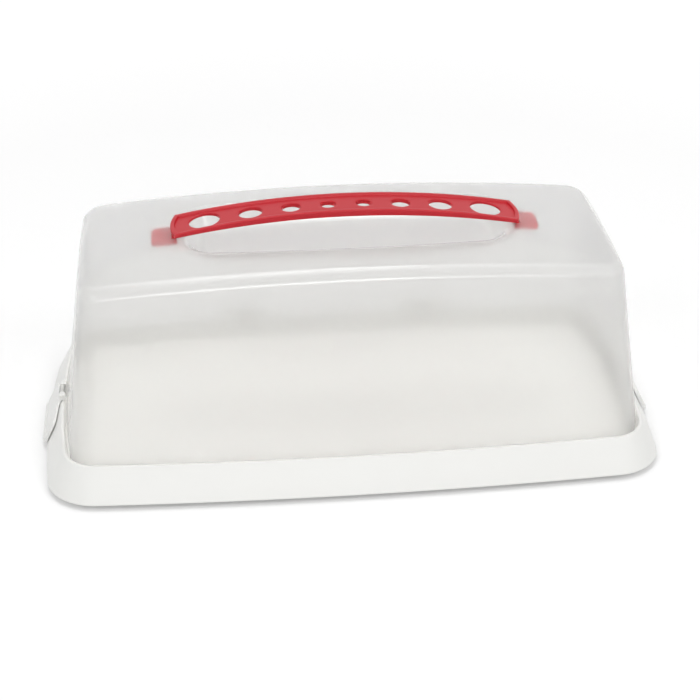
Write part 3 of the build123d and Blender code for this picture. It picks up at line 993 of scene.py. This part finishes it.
# %% [markdown]
# ## Floor and surround
# The carrier stands on a plain white floor that runs to a white surround. A brighter lamp could
# make the floor white, but it would bleach the carrier too. So some plain white is added to what
# the eye sees of the lit floor, and more of it far out, where the lamps are weak: the floor is
# white and the thin shadow under the skirt stays.

# %% Plain white for the eye
floor_grey = 0.9
lift_starts, lift_ends = 0.5, 2.8


def seen_rays(nodes, links):
    """One for rays that show the background: to the camera, in a mirror or through clear stuff."""
    rays = nodes.new("ShaderNodeLightPath")
    seen = rays.outputs["Is Camera Ray"]
    for kind in ("Is Transmission Ray", "Is Glossy Ray"):
        either = nodes.new("ShaderNodeMath")
        either.operation, either.use_clamp = "ADD", True
        links.new(seen, either.inputs[0])
        links.new(rays.outputs[kind], either.inputs[1])
        seen = either.outputs[0]
    return seen


def white_for_the_eye(name, near_lift, far_lift):
    """A lit white surface. Seen rays get plain white added: the near lift up to where the lift
    starts to grow, then evenly more, up to the far lift."""
    finish, nodes, links = new_finish(name)
    nodes.remove(nodes["Principled BSDF"])
    lit = set_inputs(nodes.new("ShaderNodeBsdfDiffuse"), Color=(floor_grey,) * 3 + (1,))
    plain = nodes.new("ShaderNodeEmission")
    away = nodes.new("ShaderNodeVectorMath")
    away.operation = "LENGTH"
    links.new(nodes.new("ShaderNodeTexCoord").outputs["Object"], away.inputs[0])
    lift = set_inputs(nodes.new("ShaderNodeMapRange"), From_Min=lift_starts, From_Max=lift_ends,
                      To_Min=near_lift, To_Max=far_lift)
    links.new(away.outputs["Value"], lift.inputs["Value"])
    amount = nodes.new("ShaderNodeMath")
    amount.operation = "MULTIPLY"
    links.new(seen_rays(nodes, links), amount.inputs[0])
    links.new(lift.outputs["Result"], amount.inputs[1])
    links.new(amount.outputs[0], plain.inputs["Strength"])
    both = nodes.new("ShaderNodeAddShader")
    links.new(lit.outputs[0], both.inputs[0])
    links.new(plain.outputs[0], both.inputs[1])
    links.new(both.outputs[0], nodes["Material Output"].inputs["Surface"])
    return finish


# %% The floor
floor_half_size = 3.0
floor_mesh = bpy.data.meshes.new("floor")
floor_mesh.from_pydata([(x * floor_half_size, y * floor_half_size, 0) for x, y in
                        ((-1, -1), (1, -1), (1, 1), (-1, 1))], [], [(0, 1, 2, 3)])
floor = bpy.data.objects.new("floor", floor_mesh)
floor.data.materials.append(white_for_the_eye("floor white", 0.195, 0.75))
bpy.context.scene.collection.objects.link(floor)
print("floor is", 2 * floor_half_size, "m square")

# %% The surround
lit_level, seen_level = 0.56, 1.0
world = bpy.data.worlds.new("surround")
bpy.context.scene.world = world
world.use_nodes = True
nodes, links = world.node_tree.nodes, world.node_tree.links
surround = set_inputs(nodes["Background"], Color=(1, 1, 1, 1))
brightness = set_inputs(nodes.new("ShaderNodeMapRange"), To_Min=lit_level, To_Max=seen_level)
links.new(seen_rays(nodes, links), brightness.inputs["Value"])
links.new(brightness.outputs["Result"], surround.inputs["Strength"])
print("surround lights at", lit_level, "and shows at", seen_level)

# %% [markdown]
# ## Lamps
# Four large soft lamps keep the light even, as in a light tent. Small lamps would draw the edges
# harder, but they would also cast shadows through the milky lid. Two long thin strips light only
# the gloss: they show as the fine bright lines along the bevel and brighten nothing else.

# %% Lamps
aim_height = 0.06


def lamp(name, place, power, width, height=None):
    """An area lamp aimed at the middle of the carrier: a square, or a strip if it has a height."""
    light = bpy.data.lights.new(name, "AREA")
    light.energy, light.size = power, width
    if height:
        light.shape, light.size_y = "RECTANGLE", height
    holder = bpy.data.objects.new(name, light)
    holder.location = place
    aim = Vector((0, 0, aim_height)) - Vector(place)
    holder.rotation_euler = aim.to_track_quat("-Z", "Y").to_euler()
    bpy.context.scene.collection.objects.link(holder)
    return holder


soft_lamps = [
    ("left lamp", (-1.9, -1.7, 2.4), 13.5, 1.0),
    ("right lamp", (1.9, -1.7, 2.4), 16.0, 1.0),
    ("top lamp", (0.0, 0.2, 3.0), 15.5, 1.0),
    ("front lamp", (0.0, -3.0, 1.05), 7.0, 1.0),
]
glint_strips = [
    ("front glint", (0.6, -3.0, 1.05), 46.0, 7.2, 0.3),
    ("top glint", (0.5, 0.6, 3.0), 42.0, 6.6, 0.3),
]
for details in soft_lamps:
    lamp(*details)
for details in glint_strips:
    strip = lamp(*details)
    strip.visible_diffuse = False
    strip.visible_transmission = False
print(len(soft_lamps), "soft lamps and", len(glint_strips), "glint strips")

# %% [markdown]
# ## Camera
# The camera looks from the front, a little from the left and from above. Its place could be three
# coordinates, but two angles and a distance say better how it stands to the carrier. The lens is
# given as a focal length in pixels, which doesn't depend on the size of a sensor.

# %% Camera and view
azimuth, elevation = math.radians(-5.83), math.radians(30.28)
back = Vector((math.sin(azimuth) * math.cos(elevation), -math.cos(azimuth) * math.cos(elevation),
               math.sin(elevation)))
target = Vector((0.00249, 0, 0.04456))
distance = 1.003
pixels, focal_pixels, sensor = 700, 1627.1, 36
camera = bpy.data.cameras.new("camera")
camera.sensor_width = sensor
camera.lens = focal_pixels * sensor / pixels
camera_holder = bpy.data.objects.new("camera", camera)
camera_holder.location = target + back * distance
camera_holder.rotation_euler = (-back).to_track_quat("-Z", "Y").to_euler()
bpy.context.scene.collection.objects.link(camera_holder)
bpy.context.scene.camera = camera_holder
bpy.context.scene.view_settings.view_transform = "Standard"
